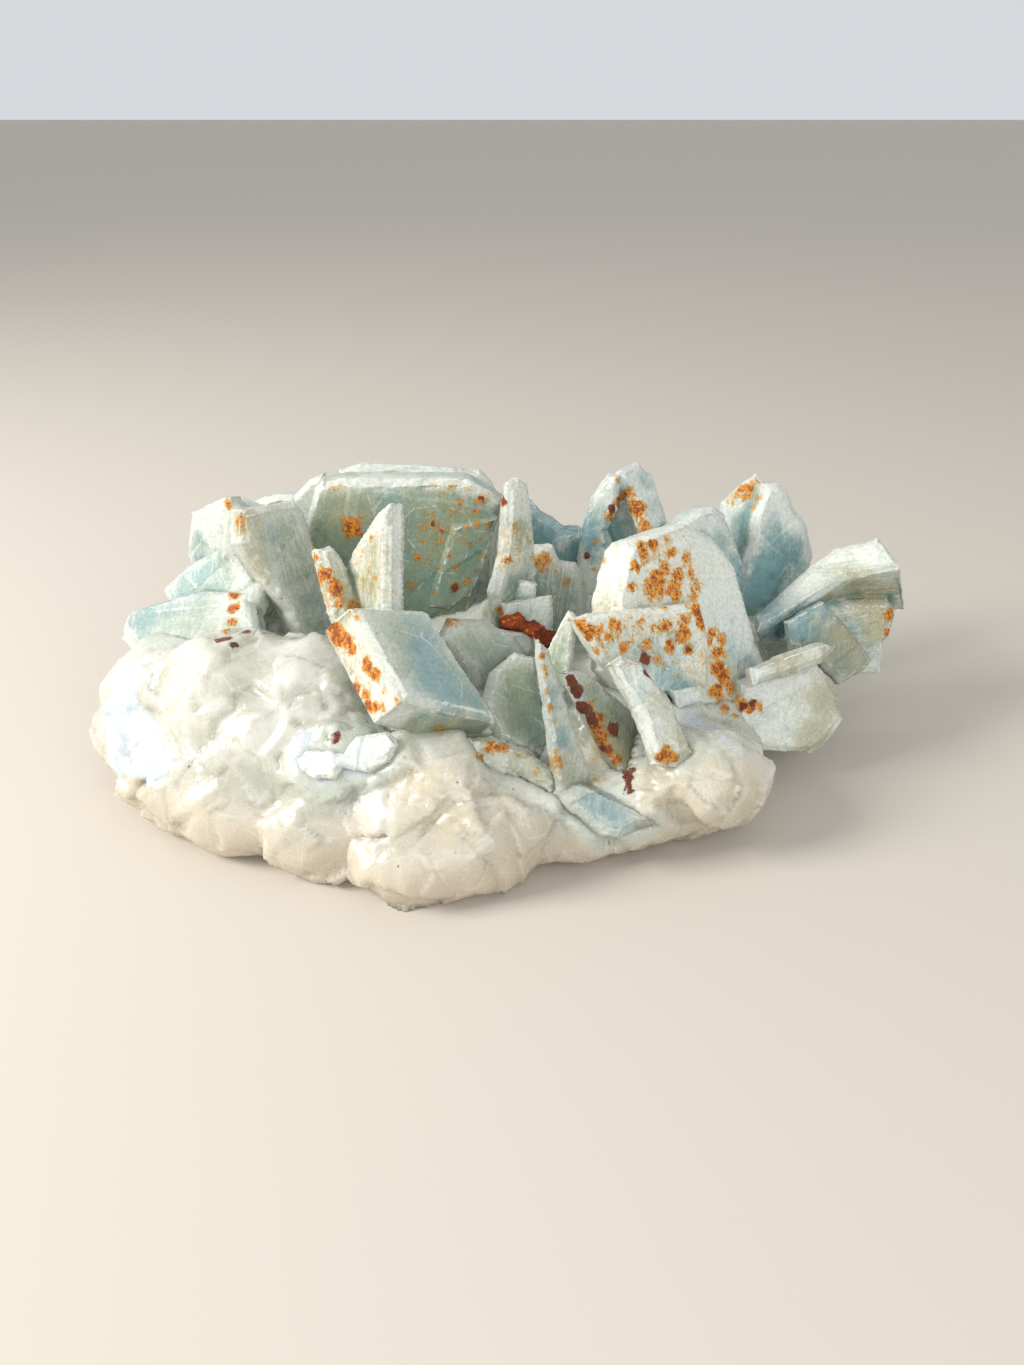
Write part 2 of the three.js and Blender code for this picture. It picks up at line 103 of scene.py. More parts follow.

# Rust, placed on the photograph: pixel across, pixel down, radius in mm, how much of it.
RUST = {
    "the front block's bright side": [
        (333, 636, 1.7, 1), (342, 643, 1.5, 1), (348, 652, 1.1, 0.9), (327, 632, 1, 0.6),
        (364, 669, 1.4, 1), (371, 678, 1.2, 1), (352, 686, 1, 1), (361, 697, 1.1, 0.9), (365, 707, 1, 1),
        (371, 711, 1, 0.9), (381, 691, 0.7, 0.7), (393, 704, 0.9, 0.6), (378, 710, 0.8, 0.7),
        (350, 615, 1, 0.5),
    ],
    "the left plate's corner and side": [
        (229, 505, 1.5, 0.7), (238, 522, 1.5, 0.7), (246, 530, 1, 0.5), (252, 560, 1, 0.4),
        (262, 580, 0.9, 0.5), (270, 588, 0.8, 0.4), (284, 590, 0.7, 0.4),
    ],
    "the streak on the left ledges": [
        (232, 592, 0.9, 1), (230, 605, 1, 1), (229, 618, 0.9, 0.9), (228, 630, 0.8, 0.8),
    ],
    "the wedge": [
        (309, 547, 1.2, 0.55), (313, 561, 1, 0.8), (322, 572, 1.4, 1), (331, 582, 1.3, 1), (337, 592, 1, 1),
        (341, 601, 0.9, 0.9),
    ],
    "the striated blade": [
        (367, 541, 0.8, 0.6), (359, 553, 0.6, 0.6), (352, 567, 0.7, 0.6), (366, 574, 0.7, 0.6),
        (372, 581, 0.7, 0.7), (363, 584, 0.6, 0.5), (352, 583, 0.7, 0.5), (359, 592, 0.7, 0.6),
        (356, 604, 1.3, 0.8), (345, 602, 1.2, 0.8),
    ],
    "the back plate": [
        (353, 530, 1.7, 0.95), (348, 538, 1.2, 0.6), (337, 492, 1, 0.55), (343, 491, 0.7, 0.5),
        (452, 490, 1, 0.6), (457, 515, 0.9, 0.65), (428, 517, 0.9, 0.6), (433, 528, 1, 0.7),
        (426, 532, 0.9, 0.6), (473, 517, 0.8, 0.6), (478, 528, 0.9, 0.65), (471, 533, 0.8, 0.5),
        (488, 521, 0.8, 0.6), (442, 546, 1.1, 0.7), (419, 541, 0.9, 0.5), (440, 554, 0.8, 0.5),
        (466, 541, 0.7, 0.6), (483, 544, 1, 0.6), (448, 529, 0.6, 0.5), (460, 572, 0.9, 0.6),
        (477, 572, 0.8, 0.5), (453, 578, 0.7, 0.6), (462, 581, 0.7, 0.6), (414, 589, 0.8, 0.65),
        (407, 541, 0.7, 0.5), (484, 504, 1.1, 0.9), (498, 505, 0.9, 0.9), (458, 590, 1.2, 0.9),
        (437, 518, 0.6, 0.8), (445, 535, 0.6, 0.9), (466, 525, 0.5, 0.9), (474, 548, 0.6, 0.8),
        (422, 560, 0.6, 0.8), (436, 572, 0.6, 0.7), (452, 560, 0.6, 0.8), (483, 560, 0.6, 0.8),
        (470, 585, 0.6, 0.8), (430, 590, 0.6, 0.7), (492, 530, 0.5, 0.9), (480, 515, 0.5, 0.9),
        (463, 505, 0.6, 0.8), (445, 498, 0.6, 0.7), (425, 545, 0.6, 0.8),
    ],
    "scattered flecks": [
        (450, 520, 10, 0.36), (480, 560, 8, 0.33), (680, 570, 9, 0.3), (640, 640, 8, 0.42),
        (362, 570, 6, 0.4), (270, 560, 8, 0.3), (850, 560, 8, 0.25), (870, 600, 6, 0.38),
        (512, 550, 5, 0.42), (700, 660, 7, 0.42), (330, 590, 4, 0.45), (610, 740, 5, 0.4),
        (350, 665, 5, 0.42),
    ],
    "the tall blade": [(509, 560, 0.9, 0.8), (519, 528, 0.8, 0.6), (506, 571, 0.6, 0.5)],
    "the middle hollow": [
        (541, 562, 1.5, 0.75), (550, 567, 1.5, 0.8), (567, 584, 1.2, 0.6), (556, 592, 1.2, 0.55),
        (536, 560, 1.1, 0.5), (560, 575, 1.4, 0.6), (593, 543, 1, 0.7), (604, 519, 1, 0.7),
        (496, 610, 0.9, 0.9), (453, 615, 1.4, 0.7), (463, 622, 1, 0.5),
    ],
    "the big right plate": [
        (665, 560, 2.6, 0.5), (648, 555, 1.5, 0.8), (660, 575, 2, 0.9), (678, 588, 2, 0.8),
        (690, 560, 1.6, 0.7), (700, 585, 1.5, 0.7), (655, 592, 1.8, 0.8), (672, 545, 1.2, 0.6),
        (657, 547, 1, 1), (676, 555, 1, 0.9), (640, 570, 1.2, 0.8), (668, 565, 1.4, 0.8),
        (682, 572, 1.2, 0.8), (650, 585, 1.2, 0.8), (637, 585, 1, 0.8), (663, 595, 1.3, 0.8),
        (695, 572, 1, 0.8), (716, 630, 1, 0.9), (728, 705, 1.2, 0.9), (724, 640, 1.5, 0.8),
        (722, 655, 1.6, 0.9), (722, 668, 1.6, 1), (726, 680, 1.6, 1), (721, 692, 1.5, 1),
        (733, 690, 1.4, 0.8), (742, 700, 1.2, 0.9), (600, 560, 0.8, 0.7), (592, 572, 0.8, 0.7),
        (586, 583, 0.7, 0.6), (612, 547, 0.8, 0.6),
    ],
    "the plate grown on it": [
        (577, 629, 1.3, 0.9), (589, 632, 1.5, 0.9), (602, 634, 1.4, 0.8), (620, 632, 1.8, 0.8),
        (640, 640, 1.5, 0.6), (660, 632, 1.4, 0.7), (672, 627, 1.5, 0.8), (690, 622, 1.4, 0.8),
        (703, 612, 1.4, 1), (705, 625, 1.3, 1), (683, 640, 1.3, 0.8), (645, 625, 1.2, 0.7),
        (698, 598, 1.1, 0.8), (684, 600, 1.2, 0.6), (668, 603, 1.2, 0.6), (605, 648, 1.2, 0.6),
        (668, 672, 1.1, 0.5), (680, 665, 1, 0.5), (692, 652, 1, 0.8), (712, 640, 1.2, 0.8),
        (612, 642, 1.2, 0.9), (628, 650, 1.2, 0.8), (650, 648, 1.3, 0.8), (672, 646, 1.2, 0.9),
        (690, 634, 1.2, 0.9), (586, 640, 1.1, 0.9), (597, 655, 1, 0.8), (660, 660, 1, 0.7),
    ],
    "the right plate's foot": [
        (745, 708, 1.4, 1), (753, 703, 1.2, 1), (762, 712, 1, 0.7), (738, 712, 0.9, 0.8),
    ],
    "the blade in the middle at the back": [
        (627, 495, 1.2, 0.9), (633, 512, 1.6, 1), (640, 528, 1.4, 0.9), (622, 482, 0.9, 0.7),
        (645, 541, 1, 0.7), (650, 510, 0.8, 0.6), (622, 505, 1.5, 1), (618, 520, 1.5, 0.8),
    ],
    "the rusty top at the back right": [
        (738, 485, 1.2, 0.85), (744, 492, 1.3, 0.9), (750, 484, 1.2, 0.8), (742, 500, 1.2, 0.75),
        (735, 498, 1.1, 0.75), (754, 495, 1.1, 0.7), (728, 498, 1.1, 0.6), (748, 505, 1, 0.6),
    ],
    "the plate with the rusty back": [
        (598, 731, 1.3, 1), (604, 741, 1.3, 1), (611, 753, 1.3, 1), (618, 763, 1, 0.9), (593, 704, 1, 0.9),
        (602, 713, 1.1, 1), (576, 692, 0.9, 0.8), (596, 782, 1.6, 0.5),
    ],
    "the rod and the thin blade": [
        (668, 758, 1.3, 0.95), (676, 758, 1, 0.9), (660, 760, 1, 0.9), (653, 700, 0.8, 0.5),
        (548, 660, 0.5, 0.75), (548, 679, 0.5, 0.75), (551, 696, 0.5, 0.7), (553, 710, 0.5, 0.7),
        (540, 660, 0.8, 0.8), (543, 671, 0.7, 0.7), (556, 725, 0.8, 0.5), (558, 756, 1.2, 0.6),
    ],
    "the plates under the arm": [
        (893, 618, 1, 0.9), (896, 628, 1, 0.9), (892, 636, 0.9, 0.9), (845, 575, 0.9, 0.45),
        (832, 600, 0.9, 0.45), (870, 600, 1.2, 0.4), (880, 625, 1.2, 0.35), (877, 610, 0.8, 0.5),
    ],
    "the slope in front": [
        (442, 731, 1.3, 0.55), (493, 747, 1.2, 0.85), (507, 742, 1.2, 0.8), (482, 757, 0.9, 0.7),
        (522, 752, 0.8, 0.6), (551, 767, 1.1, 0.7), (540, 768, 0.9, 0.6), (530, 750, 0.8, 0.5),
    ],
}
DARK_RUST = {
    "the left ledges": [
        (216, 637, 1, 1), (226, 635, 1, 1), (234, 641, 0.8, 0.9), (250, 628, 1, 1), (333, 734, 0.9, 1),
        (328, 741, 0.6, 0.8), (341, 734, 0.6, 0.9),
    ],
    "the back plate": [
        (484, 502, 0.6, 0.8), (500, 504, 0.6, 0.8), (458, 591, 0.8, 0.9), (434, 528, 0.5, 0.7),
    ],
    "the middle hollow": [(584, 559, 0.8, 0.9), (556, 540, 0.5, 0.8), (609, 512, 1, 0.8)],
    "the plate grown on the right plate": [(648, 662, 1, 1), (650, 669, 0.9, 0.9), (692, 652, 0.5, 0.8)],
    "the right plate's foot": [(746, 708, 0.9, 1), (755, 700, 0.6, 0.9), (740, 714, 0.6, 0.8)],
    "the plate with the rusty back": [
        (568, 684, 1, 1), (573, 696, 1, 1), (584, 711, 1.2, 1), (589, 722, 1.2, 1), (617, 727, 0.9, 1),
        (600, 752, 0.6, 0.9), (595, 727, 0.8, 0.8),
    ],
    "the mark below the rod": [
        (625, 774, 0.7, 1), (627, 787, 0.7, 1), (631, 768, 0.6, 0.9), (621, 769, 0.6, 0.8),
        (627, 781, 0.6, 0.9),
    ],
}

# Frosted white places, which on lit sides are painted light, bluer places, which in hollows are painted
# shade, and warmer places, set in the same way.
WHITE_FROST_AND_LIGHT = {
    # The front block's side, the big right plate, the rod's side and the left plates are whiter here as
    # painted light where light falls on them.
    "the front block": [
        (338, 640, 2.6, 1), (348, 660, 2.6, 1), (358, 682, 2.6, 1), (370, 700, 2.6, 1), (384, 714, 2.6, 1),
        (352, 622, 2.6, 0.8), (398, 722, 2, 0.8), (372, 625, 3, 0.6), (385, 652, 3, 0.5),
        (402, 690, 3, 0.5), (420, 715, 3, 0.5),
    ],
    "the back plate's top": [
        (350, 478, 2.5, 0.7), (380, 472, 2.5, 0.8), (410, 474, 2.5, 0.8), (440, 476, 2.5, 0.8),
        (470, 482, 2.5, 0.7), (488, 492, 2, 0.6),
    ],
    "the big right plate": [
        (600, 560, 2.5, 1), (590, 580, 2.5, 1), (612, 545, 2.5, 0.8), (640, 540, 3, 0.5),
        (690, 535, 3.5, 0.8), (715, 550, 3, 0.8), (722, 575, 3, 0.7), (735, 600, 3, 0.5),
        (748, 635, 3, 0.4), (700, 600, 4, 0.4), (665, 570, 4, 0.4),
    ],
    "the plate grown on it": [
        (585, 615, 2, 0.9), (600, 608, 2, 0.7), (630, 602, 2, 0.7), (660, 600, 2, 0.7), (690, 598, 2, 0.6),
        (640, 625, 3, 0.3), (690, 695, 1.6, 0.6),
    ],
    "the rod": [(630, 685, 1.5, 0.6), (642, 705, 2, 0.8), (652, 728, 2.2, 1), (663, 748, 2.4, 1)],
    "the plates at the back": [
        (790, 492, 2.5, 0.9), (775, 490, 2, 0.8), (800, 520, 3, 0.6), (740, 505, 2, 0.5),
        (712, 512, 2.5, 0.8), (695, 515, 2, 0.8), (632, 470, 2, 0.9), (645, 492, 2, 0.7),
        (655, 518, 2, 0.6), (602, 490, 2, 0.5),
    ],
    "the blades in the middle": [
        (522, 488, 2, 1), (524, 510, 2, 0.8), (516, 560, 2, 0.6), (352, 590, 2.5, 0.5),
        (355, 560, 2.5, 0.4), (385, 530, 2, 0.4), (560, 545, 2, 0.5),
    ],
    "the arm": [(830, 546, 2.5, 0.8), (850, 540, 2.5, 0.8), (868, 545, 2.5, 0.8), (800, 572, 2.5, 0.5)],
    "the left plates": [
        (205, 510, 4, 1), (215, 540, 3, 0.6), (300, 490, 2.5, 1), (240, 560, 1.5, 0.6),
        (260, 590, 1.5, 0.8), (225, 600, 3, 0.5),
    ],
}
BLUER_AND_SHADED = {
    # In the hollows and under the arm these spots are painted shade, darkening the crystals as well as making
    # them bluer.
    "the hollow at the right": [(760, 592, 4, 1.1), (770, 570, 3, 1), (745, 575, 3, 1), (792, 550, 4, 0.6)],
    "under the arm": [
        (775, 628, 4, 0.9), (800, 625, 3, 0.8), (760, 612, 3, 0.8), (815, 600, 2.5, 0.7),
        (840, 590, 2.5, 0.6),
    ],
    "the hollow at the back": [
        (565, 522, 4, 1), (580, 532, 3, 1), (545, 512, 3, 0.8), (598, 545, 2.5, 0.5),
    ],
    "the front block": [
        (455, 705, 4, 0.6), (483, 718, 3, 0.6), (440, 672, 4, 0.5), (425, 645, 3, 0.4), (470, 690, 3, 0.5),
    ],
    "the left end": [
        (190, 570, 5, 0.45), (172, 585, 4, 0.45), (200, 545, 4, 0.4), (135, 612, 4, 0.5),
        (160, 602, 4, 0.4), (190, 594, 4, 0.3), (115, 715, 4, 1), (132, 738, 4.5, 1), (120, 690, 3, 0.8),
        (150, 762, 3, 0.8), (112, 745, 3, 0.8),
    ],
    "the leaves in front": [(362, 750, 3, 0.4), (318, 765, 3, 0.5), (300, 760, 2, 0.5)],
    "the low blades": [(600, 800, 3, 0.7), (620, 815, 2.5, 0.7), (545, 700, 2, 0.6), (560, 745, 2, 0.6)],
    "the right plates": [
        (600, 655, 3, 0.6), (625, 645, 3.5, 0.6), (650, 655, 4, 0.65), (680, 650, 3.5, 0.6),
        (670, 680, 3.5, 0.7), (690, 690, 3, 0.6), (640, 690, 3, 0.6), (700, 720, 3, 0.6),
        (742, 650, 3, 0.6), (738, 620, 3, 0.5), (745, 680, 3, 0.6), (700, 545, 3, 0.3),
    ],
    "the white mass in front": [
        (345, 765, 3, 0.6), (300, 745, 2.5, 0.5), (430, 745, 3, 0.4), (735, 745, 3, 0.4),
    ],
}
WARM = {
    "the glassy lump": [
        (845, 690, 5, 1.2), (870, 700, 5, 1.3), (890, 720, 4, 1.3), (850, 725, 5, 1.3), (870, 740, 4, 1.3),
        (820, 740, 4, 1), (830, 705, 4, 1),
    ],
    "the plates under the arm": [
        (850, 590, 4, 0.7), (875, 600, 4, 0.8), (885, 625, 4, 0.9), (860, 640, 4, 0.7),
    ],
    "the cream blade": [(790, 655, 3, 0.8), (820, 640, 3, 0.8), (850, 630, 3, 0.8)],
    "the slope": [
        (450, 728, 4, 0.6), (480, 740, 4, 0.6), (510, 748, 4, 0.5), (540, 765, 4, 0.6), (560, 775, 3, 0.6),
        (500, 720, 3, 0.4),
    ],
    "the plates in the hollow": [
        (600, 760, 3, 0.8), (610, 740, 3, 0.6), (625, 755, 3, 0.7), (635, 790, 3, 0.6),
    ],
    "the striated blade": [(352, 600, 3, 0.7), (365, 580, 3, 0.6), (372, 550, 3, 0.5), (340, 612, 2, 0.9)],
    "the wedge": [(320, 560, 3, 0.6), (335, 585, 3, 0.7), (310, 545, 2, 0.5)],
    "the left plate": [(240, 520, 3, 0.8), (262, 545, 3.5, 0.4), (285, 515, 4, 0.4), (250, 565, 2.5, 0.6)],
    "the back plate": [
        (350, 520, 4, 0.6), (345, 500, 3, 0.5), (440, 550, 6, 0.4), (470, 520, 5, 0.4), (430, 515, 5, 0.3),
    ],
    "the big right plate": [(660, 560, 4, 0.2), (690, 575, 4, 0.2), (725, 670, 4, 0.5), (730, 690, 3, 0.6)],
    "the plate grown on it": [
        (600, 640, 3, 0.4), (640, 650, 3, 0.3), (700, 620, 3, 0.4), (600, 600, 3, 0.5),
    ],
    "the rod": [(665, 700, 3, 0.6), (680, 720, 3, 0.6), (690, 740, 3, 0.7), (668, 758, 2, 0.8)],
    "the block": [(410, 735, 3, 0.5), (440, 742, 3, 0.6), (338, 650, 2.5, 0.4), (356, 690, 2.5, 0.4)],
    "the mass on the right": [
        (700, 790, 6, 0.7), (740, 790, 6, 0.8), (790, 790, 6, 0.7), (670, 790, 5, 0.8), (760, 760, 5, 0.4),
        (820, 780, 5, 0.5),
    ],
    "the mass in front": [(440, 800, 7, 0.8), (480, 800, 6, 0.8), (520, 830, 6, 0.6), (430, 770, 5, 0.6)],
    "the mass on the left": [
        (200, 800, 6, 0.5), (230, 720, 7, 0.3), (170, 720, 6, 0.3), (210, 660, 5, 0.4),
    ],
}

# What each table of spots is kept as on the skins, and how many times it is eased over their faces.
SPOTS = {
    "rust": (RUST, 0),
    "dark": (DARK_RUST, 0),
    "white": (WHITE_FROST_AND_LIGHT, 4),
    "bluer": (BLUER_AND_SHADED, 4),
    "warm": (WARM, 8),
}

# The kept numbers that a crystal's colour, with its painted light and shade, depends on.
BODY_MARKS = ("rim", "frame", "open", "white", "bluer", "warm")


# Arrays on a surface.


def blend(low, high, values):
    """0 up to low, 1 from high, and a smooth rise between them."""
    t = np.clip((values - low) / (high - low), 0, 1)
    return t * t * (3 - 2 * t)


def unit(vectors):
    """The vectors at length 1."""
    return vectors / np.maximum(np.linalg.norm(vectors, axis=-1, keepdims=True), 1e-9)


def chance(cells, seed):
    """A number from 0 to 1 for each cell, mixed from the three whole numbers of its place and the seed."""
    i, j, k = cells.T
    mixed = (i * 73856093) ^ (j * 19349663) ^ (k * 83492791) ^ (seed * 912271)
    mixed = ((mixed ^ (mixed >> 13)) * 1274126177) & 0xFFFFFFFF
    return ((mixed ^ (mixed >> 16)) & 0xFFFFFFFF) / 4294967295


def noise(places, size, seed):
    """Smooth noise from -1 to 1: each corner of a grid of cells, size across, has a number by chance, and
    a place blends the eight round it by smoothed fractions."""
    cell = places / size + seed * 17.31
    low = np.floor(cell)
    part = cell - low
    part = part * part * (3 - 2 * part)
    low = low.astype(np.int64)
    total = np.zeros(len(places))
    for corner in np.ndindex(2, 2, 2):
        share = np.prod(np.where(corner, part, 1 - part), axis=1)
        total += share * (2 * chance(low + corner, seed) - 1)
    return total


def broken_faces(places, size, seed, slope, offset):
    """The height of a surface broken into flat faces about size across. Each cell of a grid holds one seed
    point by chance, a place belongs to the nearest seed of the 27 cells round it, and that seed's face is
    tilted by up to slope and set in or out by up to offset."""
    low = np.floor(places / size).astype(np.int64)
    nearest = np.full(len(places), np.inf)
    height = np.zeros(len(places))
    for corner in np.ndindex(3, 3, 3):
        cells = low + corner - 1
        seeds = (cells + np.stack([chance(cells, seed + k) for k in range(3)], 1)) * size
        tilts = np.stack([chance(cells, seed + k) for k in range(3, 6)], 1) * 2 - 1
        away = places - seeds
        face = (away * tilts).sum(1) * slope + (chance(cells, seed + 6) * 2 - 1) * offset
        distance = (away**2).sum(1)
        height = np.where(distance < nearest, face, height)
        nearest = np.minimum(distance, nearest)
    return height


def rough_noise(places, size, seed, layers=3):
    """Noise at size, plus half as much at half the size, and so on."""
    return sum(noise(places, size / 2**k, seed + k) / 2**k for k in range(layers))


class Skin:
    """A node's surface as many small even faces, held as arrays in millimetres."""

    def __init__(self, node, grain):
        self.node = node
        self.grain = grain
        self.object = remeshed_copy(node, grain * MM)
        mesh = self.object.data
        self.places = np.empty(len(mesh.vertices) * 3, np.float32)
        mesh.vertices.foreach_get("co", self.places)
        self.places = self.places.reshape(-1, 3).astype(float) / MM
        edges = np.empty(len(mesh.edges) * 2, np.int32)
        mesh.edges.foreach_get("vertices", edges)
        self.edges = edges.reshape(-1, 2)
        ends = self.edges.ravel()
        self.neighbours = np.maximum(np.bincount(ends, minlength=len(self.places)), 1)
        self.store()

    def store(self):
        """Puts the places into the mesh and reads the normals that they give."""
        mesh = self.object.data
        mesh.vertices.foreach_set("co", (self.places * MM).astype(np.float32).ravel())
        mesh.update()
        normals = np.empty(len(self.places) * 3, np.float32)
        mesh.vertex_normals.foreach_get("vector", normals)
        self.normals = normals.reshape(-1, 3).astype(float)

    def raise_by(self, height):
        """Moves each vertex along its normal, and nothing below the surface that the specimen stands on."""
        self.places = self.places + self.normals * height[:, None]
        self.places[:, 2] = np.maximum(self.places[:, 2], 0)
        self.store()

    def eased(self, values, times, share=1.0):
        """The values after each has gone towards the mean of its neighbours, times over."""
        a, b = self.edges.T
        columns = values.reshape(len(values), -1).astype(float)
        for _ in range(times):
            means = [
                np.bincount(a, column[b], len(column)) + np.bincount(b, column[a], len(column))
                for column in columns.T
            ]
            columns = columns + (np.stack(means, 1) / self.neighbours[:, None] - columns) * share
        return columns.reshape(values.shape)

    def rims(self, reach):
        """About 1 on a square outer edge, 0 on a flat, -1 in a square inner corner: how far easing over
        reach millimetres pulls a vertex in along its normal, which is 0.42 of reach on a square edge."""
        times = max(2, round(2 * (reach / self.grain) ** 2))
        pulled = self.places - self.eased(self.places, times)
        return (pulled * self.normals).sum(1) / (0.42 * reach)

    def keep(self, name, values):
        """Stores one number per vertex for the materials."""
        attribute = self.object.data.attributes.new(name, "FLOAT", "POINT")
        attribute.data.foreach_set("value", values.astype(np.float32))


def merged_copy(node):
    """A copy of the node's mesh with its loose triangles joined."""
    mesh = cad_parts[node].data.copy()
    work = bmesh.new()
    work.from_mesh(mesh)
    bmesh.ops.remove_doubles(work, verts=work.verts, dist=1e-6)
    work.to_mesh(mesh)
    work.free()
    mesh.materials.clear()
    copy = bpy.data.objects.new(node + "_core", mesh)
    bpy.context.collection.objects.link(copy)
    return copy


def remeshed_copy(node, grain):
    """The node's solid remeshed in even squares and drawn back onto its own faces."""
    core = merged_copy(node)
    work = bpy.data.objects.new(node + "_work", core.data)
    bpy.context.collection.objects.link(work)
    remesh = work.modifiers.new("even", "REMESH")
    remesh.mode = "VOXEL"
    remesh.voxel_size = grain
    wrap = work.modifiers.new("onto the faces", "SHRINKWRAP")
    wrap.target = core
    wrap.wrap_method = "NEAREST_SURFACEPOINT"
    ready = work.evaluated_get(bpy.context.evaluated_depsgraph_get())
    mesh = bpy.data.meshes.new_from_object(ready)
    bpy.data.objects.remove(work)
    bpy.data.objects.remove(core)
    mesh.polygons.foreach_set("use_smooth", np.ones(len(mesh.polygons), bool))
    piece = bpy.data.objects.new(node + "_skin", mesh)
    bpy.context.collection.objects.link(piece)
    return piece


# The crystals.


def face_axes(skin, turn):
    """For each vertex, across and along the ribs of its face: along is the steepest line of the face,
    turned in the face by turn degrees."""
    mostly_up = unit(np.array([0.1, 0.35, 1.0]))
    normals = unit(skin.eased(skin.normals, 3))
    along = unit(mostly_up - normals * (normals @ mostly_up)[:, None])
    across = np.cross(normals, along)
    angle = np.radians(turn)
    return (
        across * np.cos(angle) + along * np.sin(angle),
        along * np.cos(angle) - across * np.sin(angle),
    )


def growth_ledges(skin, across, along, dice):
    """Straight ledges over the faces: each is a plane square to the face, past which the face is lower by a
    tenth or two of a millimetre. Its line follows the ribs, or crosses them at the crystal's own angle."""
    middle = skin.places.mean(0)
    reach = np.ptp(skin.places, axis=0).max() / 2
    height = np.zeros(len(skin.places))
    wander = 0.25 * noise(skin.places, 3.0, 41)
    for tilt in LEDGE_TURNS:
        angle = np.radians(tilt)
        heading = across * np.cos(angle) + along * np.sin(angle)
        side = dice.choice([-1, 1])
        line = ((skin.places - middle) * heading).sum(1) * side - reach * dice.uniform(0.15, 0.75)
        height -= dice.uniform(0.06, 0.16) * blend(0, 0.22, line + wander)
    return height


def wear(skin, dice):
    """Rims rounded a little and chipped in small broken faces; faces wave slightly."""
    rims = np.clip(skin.rims(0.7), 0, 1.3)
    seed = int(dice.integers(1, 900))
    chips = np.maximum(broken_faces(skin.places, 0.9, seed, 0.5, 0.5), 0)
    missing = blend(0.3, 0.7, noise(skin.places, 2.3, seed + 1) + 0.4 * noise(skin.places, 0.9, seed + 2))
    waves = 0.06 * noise(skin.places, 6.0, seed + 3) + 0.02 * noise(skin.places, 1.8, seed + 4)
    return waves - rims * (0.28 * chips + 0.3 * missing)


def crystal_skin(node, index):
    """A crystal's skin with its ledges, ribs and worn rims."""
    rib_depth, turn, _, _, _ = CRYSTALS[node]
    skin = Skin(node, THIN_GRAIN if node in THIN_NODES else CRYSTAL_GRAIN)
    dice = np.random.default_rng(300 + index)
    across, along = face_axes(skin, turn)
    stripe = (skin.places * across).sum(1)
    length = (skin.places * along).sum(1)
    lines = np.stack([stripe / RIB_WIDTH, length / RIB_LENGTH, np.zeros(len(stripe))], 1)
    ribs = rough_noise(lines, 1.0, 60 + index, 2)
    height = growth_ledges(skin, across, along, dice) + wear(skin, dice) + rib_depth * ribs
    skin.raise_by(height + 0.05)
    skin.keep("stripe", stripe)
    skin.keep("length", length)
    return skin


# The white mass.


def near_crystals(places, crystals):
    """1 for a place within about 1.5 mm of a crystal's surface and 0 past 2.5 mm, read from a grid of
    half-millimetre cells that the crystals' vertices mark and that is then widened."""
    cell = 0.5
    margin = 4
    low = places.min(0) - margin
    shape = tuple(np.ceil((places.max(0) + margin - low) / cell).astype(int) + 1)
    marked = np.zeros(shape, bool)
    for skin in crystals:
        index = np.floor((skin.places - low) / cell).astype(int)
        inside = ((index >= 0) & (index < shape)).all(1)
        marked[tuple(index[inside].T)] = True
    near = marked.astype(float)
    for step in range(5):
        wide = near.copy()
        for axis in range(3):
            for way in (-1, 1):
                wide = np.maximum(wide, np.roll(near, way, axis))
        near = np.maximum(near, wide * (1.0 if step < 3 else 0.6))
    index = np.clip(np.floor((places - low) / cell).astype(int), 0, np.array(shape) - 1)
    return near[tuple(index.T)]


def mass_skin(crystals, leaves):
    """The mass: lumps run together, then broken faces in three sizes, the widest as grains that meet in
    steps. It grows over the gap to the crystals, and further beside the leaves."""
    skin = Skin("white_mass", MASS_GRAIN)
    near = near_crystals(skin.places, crystals)
    free = 1 - near
    share = (0.9 * free)[:, None]
    for _ in range(round(2 * (EASED_REACH / MASS_GRAIN) ** 2)):
        skin.places = skin.places + (skin.eased(skin.places, 1) - skin.places) * share
    skin.places[:, 2] = np.maximum(skin.places[:, 2], 0)
    skin.store()
    wander = np.stack([noise(skin.places, 5, 500 + k) for k in range(3)], 1) * 1.2
    height = skin.eased(broken_faces(skin.places + wander, *WIDE_GRAINS), 1)
    height += broken_faces(skin.places + 0.5 * wander, *MIDDLE_FACES)
    height += broken_faces(skin.places, *FINE_FACES) * blend(0.2, 0.7, noise(skin.places, 9, 5))
    over_gap = GROWN_OVER + OVER_LEAVES * near_crystals(skin.places, leaves)
    skin.raise_by(over_gap + free * (SWELL + height))
    skin.keep("near", skin.eased(near, 12))
    return skin


def crust_skin():
    """The crust of iron oxide: coarse grains on lumps."""
    skin = Skin("rust_crust", CRUST_GRAIN)
    skin.raise_by(0.35 * rough_noise(skin.places, 1.1, 21) + 0.1)
    return skin


# What the materials read from the shape.


def split_again(values, skins):
    """The values of all vertices in one array, as one array for each skin."""
    return np.split(values, np.cumsum([len(skin.places) for skin in skins])[:-1])


